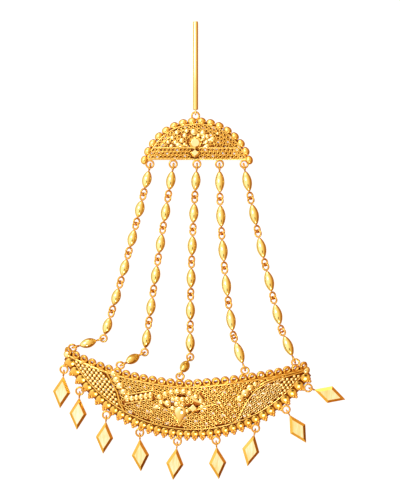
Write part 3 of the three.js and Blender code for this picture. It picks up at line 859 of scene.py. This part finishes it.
def crescent_shade_backing():
    """Sheet below the net of the crescent, dark as painted shade between its rings."""
    bm = bmesh.new()
    across, up = CRESCENT_SHEET["cells"]
    bmesh.ops.create_grid(bm, x_segments=across, y_segments=up, size=1)
    for vert in bm.verts:
        below = Vector(on_lower(LOWER_LINE["half_angle"] * vert.co.x, -CRESCENT_SHEET["outside"]))
        above = Vector(on_upper(UPPER_LINE["half_angle"] * vert.co.x, CRESCENT_SHEET["inside"]))
        u, v = below.lerp(above, (vert.co.y + 1) / 2)
        vert.co = (u, v, crescent_height(u, v) - CRESCENT_SHEET["below"])
    pierce(bm, OPENING_EVERY["crescent"], shows_openings)
    thicken(bm)
    crescent_piece(bm, "crescent_shade_backing", [SHADE_SHEET_GOLD])


def crescent_wire(bm, line, wire, lift):
    """A wire on the crescent, lifted a little, along a line of points."""
    lay_wire(bm, [(u, v, crescent_height(u, v) + lift) for u, v in line], wire)


def upper_loops(bm):
    """Loops of thick wire along the upper edge."""
    loop = wire_ring(LOOPS["radius"], LOOPS["wire"], steps=20, sides=8)
    for i in range(LOOPS["count"]):
        degrees = UPPER_LINE["half_angle"] * (2 * i / (LOOPS["count"] - 1) - 1)
        u, v = on_upper(degrees, -LOOPS["outside"])
        stamp(bm, loop, seat(crescent_height, u, v, LOOPS["lift"]), PAINTED_LIGHT_SLOT)


def border_wires(bm):
    """A wire inside each edge."""
    for edge, border in ((on_upper, UPPER_WIRE), (on_lower, LOWER_WIRE)):
        angles = np.linspace(-border["reach"], border["reach"], BORDER_WIRES["points"])
        line = [edge(degrees, border["inside"]) for degrees in angles]
        crescent_wire(bm, line, border["wire"], BORDER_WIRES["lift"])


def panel_wires(bm):
    """Outlines of the two panels, of the row of ovals and of the petals below the flower."""
    along = np.linspace(LEAF_PANEL["left"], LEAF_PANEL["right"], LEAF_PANEL_POINTS)
    leaf = LEAF_PANEL_WIRES
    crescent_wire(bm, [(u, leaf_panel_top(u)) for u in along], leaf["wire"], leaf["lift"])
    outer = [(u, leaf_panel_top(u) + leaf["apart"]) for u in along[leaf["skip"]:]]
    crescent_wire(bm, outer, leaf["outer"], leaf["outer_lift"])
    crescent_wire(bm, HORN_PANEL_LINE, HORN_PANEL_WIRE["wire"], HORN_PANEL_WIRE["lift"])
    ends = OVAL_WIRES["ends"]
    along = np.linspace(OVALS["from"] + ends, OVALS["to"] - ends, OVAL_WIRES["points"])
    for aside in (OVAL_WIRES["aside"], -OVAL_WIRES["aside"]):
        line = [(u, oval_line(u) + aside) for u in along]
        crescent_wire(bm, line, OVAL_WIRES["wire"], OVAL_WIRES["lift"])
    for line in PETAL_LINES:
        crescent_wire(bm, line, PETAL_WIRE["wire"], PETAL_WIRE["lift"])


def soldered_rings(bm):
    """Rings of the five chains above and of the nine drops below."""
    ring = wire_ring(RING_RADIUS, DRAWN_WIRE)
    lean = Matrix.Rotation(math.atan(LEAN), 4, "X")
    for u, rise in CHAIN_RINGS:
        v = upper_line(u) + rise
        stamp(bm, ring, Matrix.Translation((u, v, crescent_height(u, v))) @ lean, PAINTED_LIGHT_SLOT)
    for degrees in DROP_RING_ANGLES:
        u, v = on_lower(degrees, -DROP_RINGS["reach"])
        stamp(bm, ring, Matrix.Translation((u, v, DROP_RINGS["height"])), PAINTED_LIGHT_SLOT)


def crescent_frame():
    """Loops, wires and soldered rings."""
    bm = bmesh.new()
    upper_loops(bm)
    border_wires(bm)
    panel_wires(bm)
    soldered_rings(bm)
    # Loops and soldered rings take the darker ring gold, as painted shade.
    crescent_piece(bm, "crescent_frame", [FILIGREE, SHADED_RING_GOLD])


def disc_angle(share):
    """Angle along the lower border, with steps that widen towards the horns."""
    widened = (share + DISCS["spread"] * share ** 3) / (1 + DISCS["spread"])
    return LOWER_LINE["half_angle"] * widened


def crescent_border():
    """Discs along the lower edge, each with a pointed cluster of three grains below it."""
    bm = bmesh.new()
    tilt = Matrix.Rotation(math.atan(LEAN) * DISCS["tilt_share"], 4, "X")
    bead = grain(DISC_GRAINS["radius"])
    bounds = [disc_angle(2 * i / DISCS["count"] - 1) for i in range(DISCS["count"] + 1)]
    for first, last in zip(bounds, bounds[1:]):
        degrees = (first + last) / 2
        disc = coin(DISCS["share"] * LOWER_LINE["radius"] * math.radians(last - first), DISCS["height"])
        u, v = on_lower(degrees, 0)
        stamp(bm, disc, Matrix.Translation((u, v, EDGE_HEIGHT + DISCS["lift"])) @ tilt)
        for aside, outside in DISC_GRAINS["places"]:
            u, v = on_lower(degrees + math.degrees(aside / LOWER_LINE["radius"]), -outside)
            stamp(bm, bead, Matrix.Translation((u, v, EDGE_HEIGHT)), PAINTED_LIGHT_SLOT)
    # Discs take the darker copy of the gold and their grains the darker ring gold, both as painted shade.
    crescent_piece(bm, "crescent_border", [SHADED_GOLD, SHADED_RING_GOLD])


def crescent_net():
    """Rows of small rings below the upper edge, with a grain in some of them; the grains and the leaf
    panel's rings are paler, as painted highlight.
    """
    bm = bmesh.new()
    mesh_ring = wire_ring(NET["ring"], NET["wire"], steps=10, sides=6)
    spot = grain(NET["grain"])
    step = math.degrees(NET["pitch"] / UPPER_LINE["radius"])
    for row in range(CRESCENT_NET["rows"]):
        inside = CRESCENT_NET["first"] + row * NET["row"]
        for column in range(-CRESCENT_NET["columns"], CRESCENT_NET["columns"] + 1):
            u, v = on_upper((column + 0.5 * (row % 2)) * step, inside)
            if not shows_crescent_net(u, v):
                continue
            # Rings of the leaf panel and the grains take the paler gold, as painted highlight.
            in_panel = u > LEAF_PANEL["left"] and v < leaf_panel_top(u)
            tone = PAINTED_LIGHT_SLOT if in_panel else 0
            stamp(bm, mesh_ring, seat(crescent_height, u, v, CRESCENT_NET_LIFT["ring"]), tone)
            count = NET_GRAIN_STEPS["column"] * column + NET_GRAIN_STEPS["row"] * row
            if count % NET["grain_every"] == 0:
                stamp(bm, spot, seat(crescent_height, u, v, CRESCENT_NET_LIFT["grain"]), PAINTED_LIGHT_SLOT)
    crescent_piece(bm, "crescent_net", [FILIGREE, LIT_GOLD])


def takes_granule(u, v):
    """True in the panel of the left horn and at the tip of the leaf panel."""
    right_of_tip = HORN_PANEL["left"] < u < horn_panel_edge(v) - HORN_PANEL["inside"]
    left_horn = right_of_tip and v < upper_line(u) - HORN_PANEL["below_edge"]
    return left_horn or (LEAF_PANEL["tip"] < u < LEAF_PANEL["right"] and in_leaf_panel(u, v))


def crescent_granules():
    """Rows of granules along the lower border, in the two horns."""
    bm = bmesh.new()
    granule = grain(GRANULE["radius"])
    for row in range(GRANULES["rows"]):
        inside = GRANULES["first"] + row * GRANULES["row"]
        step = math.degrees(GRANULES["pitch"] / (LOWER_LINE["radius"] - inside))
        for column in range(-GRANULES["columns"], GRANULES["columns"] + 1):
            u, v = on_lower((column + 0.5 * (row % 2)) * step, inside)
            if takes_granule(u, v):
                stamp(bm, granule, seat(crescent_height, u, v, GRANULE["lift"]))
    # The granules take the paler gold, as painted highlight.
    crescent_piece(bm, "crescent_granules", [LIT_GOLD])


def set_boss(bm, shape, u, v, lift, turn=0.0, upright=BOSS_UPRIGHT):
    """A boss on the crescent in the paler gold of painted highlight, standing more upright than the plate
    leans.
    """
    stamp(bm, shape, seat(crescent_height, u, v, lift, turn, upright), PAINTED_LIGHT_SLOT)


def scales_and_ovals(bm):
    """Scales beside the two panels, a ball at each horn and a row of ovals."""
    for u, v, width in SCALES + HORN_TIPS:
        set_boss(bm, dome(width, width, SCALE["relief"] * width), u, v, SCALE["lift"])
    for i in range(OVALS["count"]):
        share = i / (OVALS["count"] - 1)
        u = OVALS["from"] + share * (OVALS["to"] - OVALS["from"])
        oval = dome(OVAL["width"], OVAL["length"] - OVAL["shrink"] * share, OVAL["relief"])
        set_boss(bm, oval, u, oval_line(u), OVAL["lift"])


def blossom(bm):
    """Four lobes round a grain."""
    lobe = dome(BLOSSOM["width"], BLOSSOM["width"], BLOSSOM["relief"])
    u, v = BLOSSOM["at"]
    for k in range(BLOSSOM["lobes"]):
        angle = TURN * (k + 0.5) / BLOSSOM["lobes"]
        lobe_u = u + BLOSSOM["reach"] * math.cos(angle)
        lobe_v = v + BLOSSOM["reach"] * math.sin(angle)
        set_boss(bm, lobe, lobe_u, lobe_v, BLOSSOM["lift"])
    stamp(bm, grain(BLOSSOM_GRAIN["radius"]), seat(crescent_height, u, v, BLOSSOM_GRAIN["lift"]))


def crescent_flower():
    """Blossom under an arch of balls, with petals, leaves, a drop and a kite, and scales on both sides."""
    bm = bmesh.new()
    scales_and_ovals(bm)
    ball = dome(ARCH_BALL["width"], ARCH_BALL["width"], ARCH_BALL["relief"])
    for u, v in ARCH_BALLS:
        set_boss(bm, ball, u, v, ARCH_BALL["lift"])
    blossom(bm)
    for u, v, width in FLOWER_PETALS:
        set_boss(bm, dome(width, width, FLOWER_PETAL["relief"] * width), u, v, FLOWER_PETAL["lift"])
    for u, v, length, degrees in FLOWER_LEAVES:
        leaf = teardrop(LEAF_WIDTH * length, length, FLOWER_LEAF["relief"])
        set_boss(bm, leaf, u, v, FLOWER_LEAF["lift"], math.radians(degrees), FLOWER_LEAF["upright"])
    drop = teardrop(FLOWER_DROP["width"], FLOWER_DROP["length"], FLOWER_DROP["relief"])
    set_boss(bm, drop, *FLOWER_DROP["at"], FLOWER_DROP_SEAT["lift"], upright=FLOWER_DROP_SEAT["upright"])
    set_boss(bm, faceted(FLOWER_KITE), *FLOWER_KITE["at"], FLOWER_KITE_LIFT, upright=1)
    # All bosses but the blossom's grain take the paler gold, as painted highlight.
    crescent_piece(bm, "crescent_flower", [FILIGREE, LIT_GOLD])


# Stage
def floor_paper():
    """Pale paper that glows evenly, so that hardly any shadow shows."""
    material = bpy.data.materials.new("pale_floor")
    material.use_nodes = True
    nodes = material.node_tree.nodes
    links = material.node_tree.links
    shader = nodes["Principled BSDF"]
    shader.inputs["Base Color"].default_value = (*FLOOR["grey"], 1)
    shader.inputs["Roughness"].default_value = FLOOR["roughness"]
    shader.inputs["Specular IOR Level"].default_value = FLOOR["specular"]
    shader.inputs["Emission Strength"].default_value = FLOOR["glow"]
    place = nodes.new("ShaderNodeTexCoord")
    paper = noise(nodes, PAPER["scale"], PAPER["detail"])
    tone = tone_ramp(nodes, FLOOR_TONES)
    links.new(place.outputs["Object"], paper.inputs["Vector"])
    links.new(paper.outputs["Fac"], tone.inputs["Fac"])
    links.new(tone.outputs["Color"], shader.inputs["Emission Color"])
    return material


def pale_floor():
    """A floor that the gold doesn't mirror."""
    bm = bmesh.new()
    bmesh.ops.create_grid(bm, x_segments=1, y_segments=1, size=FLOOR["half_size"])
    mesh = bpy.data.meshes.new("floor")
    bm.to_mesh(mesh)
    bm.free()
    mesh.materials.append(floor_paper())
    floor = bpy.data.objects.new("floor", mesh)
    bpy.context.scene.collection.objects.link(floor)
    floor.visible_glossy = False


def facing(nodes, links, ray, direction):
    """How far a ray of the surround points in a direction, from minus one to one."""
    product = nodes.new("ShaderNodeVectorMath")
    product.operation = "DOT_PRODUCT"
    product.inputs[1].default_value = direction.normalized()
    links.new(ray, product.inputs[0])
    return product.outputs["Value"]


def sky_tone(nodes, links, ray):
    """Pale on the upper left, amber overhead on the right, brown low on the right."""
    share = share_between(nodes, -1, 1)
    shade = tone_ramp(nodes, SKY_TONES)
    links.new(facing(nodes, links, ray, SKY_BRIGHT_SIDE), share.inputs["Value"])
    links.new(share.outputs["Result"], shade.inputs["Fac"])
    return shade.outputs["Color"]


def ground_tone(nodes, links, across):
    """Straw on the left, amber on the right."""
    share = share_between(nodes, *GROUND_CHANGE)
    tone = tone_mix(nodes)
    tone.inputs["A"].default_value = (*GROUND_TONES["left"], 1)
    tone.inputs["B"].default_value = (*GROUND_TONES["right"], 1)
    links.new(across, share.inputs["Value"])
    links.new(share.outputs["Result"], tone.inputs["Factor"])
    return tone.outputs["Result"]


def studio_surround():
    """Surround seen by the gold: the sky over the ground, with one small dark spot nearly overhead."""
    world = bpy.data.worlds.new("studio")
    bpy.context.scene.world = world
    world.use_nodes = True
    nodes = world.node_tree.nodes
    links = world.node_tree.links
    ray = nodes.new("ShaderNodeTexCoord").outputs["Generated"]
    parts = nodes.new("ShaderNodeSeparateXYZ")
    above = share_between(nodes, *SKYLINE)
    over_ground = tone_mix(nodes)
    links.new(ray, parts.inputs["Vector"])
    links.new(parts.outputs["Z"], above.inputs["Value"])
    links.new(above.outputs["Result"], over_ground.inputs["Factor"])
    links.new(ground_tone(nodes, links, parts.outputs["X"]), over_ground.inputs["A"])
    links.new(sky_tone(nodes, links, ray), over_ground.inputs["B"])
    in_spot = share_between(nodes, *DARK_SPOT["edge"])
    spotted = tone_mix(nodes)
    spotted.inputs["B"].default_value = (*DARK_SPOT["tone"], 1)
    links.new(facing(nodes, links, ray, DARK_SPOT["towards"]), in_spot.inputs["Value"])
    links.new(in_spot.outputs["Result"], spotted.inputs["Factor"])
    links.new(over_ground.outputs["Result"], spotted.inputs["A"])
    links.new(spotted.outputs["Result"], nodes["Background"].inputs["Color"])
    nodes["Background"].inputs["Strength"].default_value = SKY_STRENGTH


def soft_lights():
    """Square lights aimed at the pendant."""
    for lamp in LIGHTS:
        data = bpy.data.lights.new(lamp["name"], "AREA")
        data.size = lamp["size"]
        data.energy = lamp["power"]
        light = bpy.data.objects.new(lamp["name"], data)
        light.location = lamp["place"]
        light.rotation_euler = (-Vector(lamp["place"])).to_track_quat("-Z", "Y").to_euler()
        bpy.context.scene.collection.objects.link(light)


def camera_above():
    """Straight above, so that a picture of 400 by 500 spans 120 by 150 mm at the wire's height."""
    data = bpy.data.cameras.new("camera")
    data.lens = CAMERA["lens"]
    data.sensor_width = CAMERA["sensor"]
    camera = bpy.data.objects.new("camera", data)
    rod_low, rod_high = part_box("hair_rod")
    aim_x = (rod_low.x + rod_high.x) / 2 + AIM_FROM_ROD_END[0] * MM
    aim_y = rod_high.y + AIM_FROM_ROD_END[1] * MM
    height = CAMERA["picture_height"] * data.lens / data.sensor_width + CAMERA["floor_to_wire"]
    camera.location = (aim_x, aim_y, height)
    bpy.context.scene.collection.objects.link(camera)
    bpy.context.scene.camera = camera


hair_rod()
bead_chains()
rhombus_drops()
cap_shade_backing()
cap_frame()
cap_net()
cap_flower()
crescent_shade_backing()
crescent_frame()
crescent_border()
crescent_net()
crescent_granules()
crescent_flower()
pale_floor()
studio_surround()
soft_lights()
camera_above()
bpy.context.scene.view_settings.view_transform = "Standard"
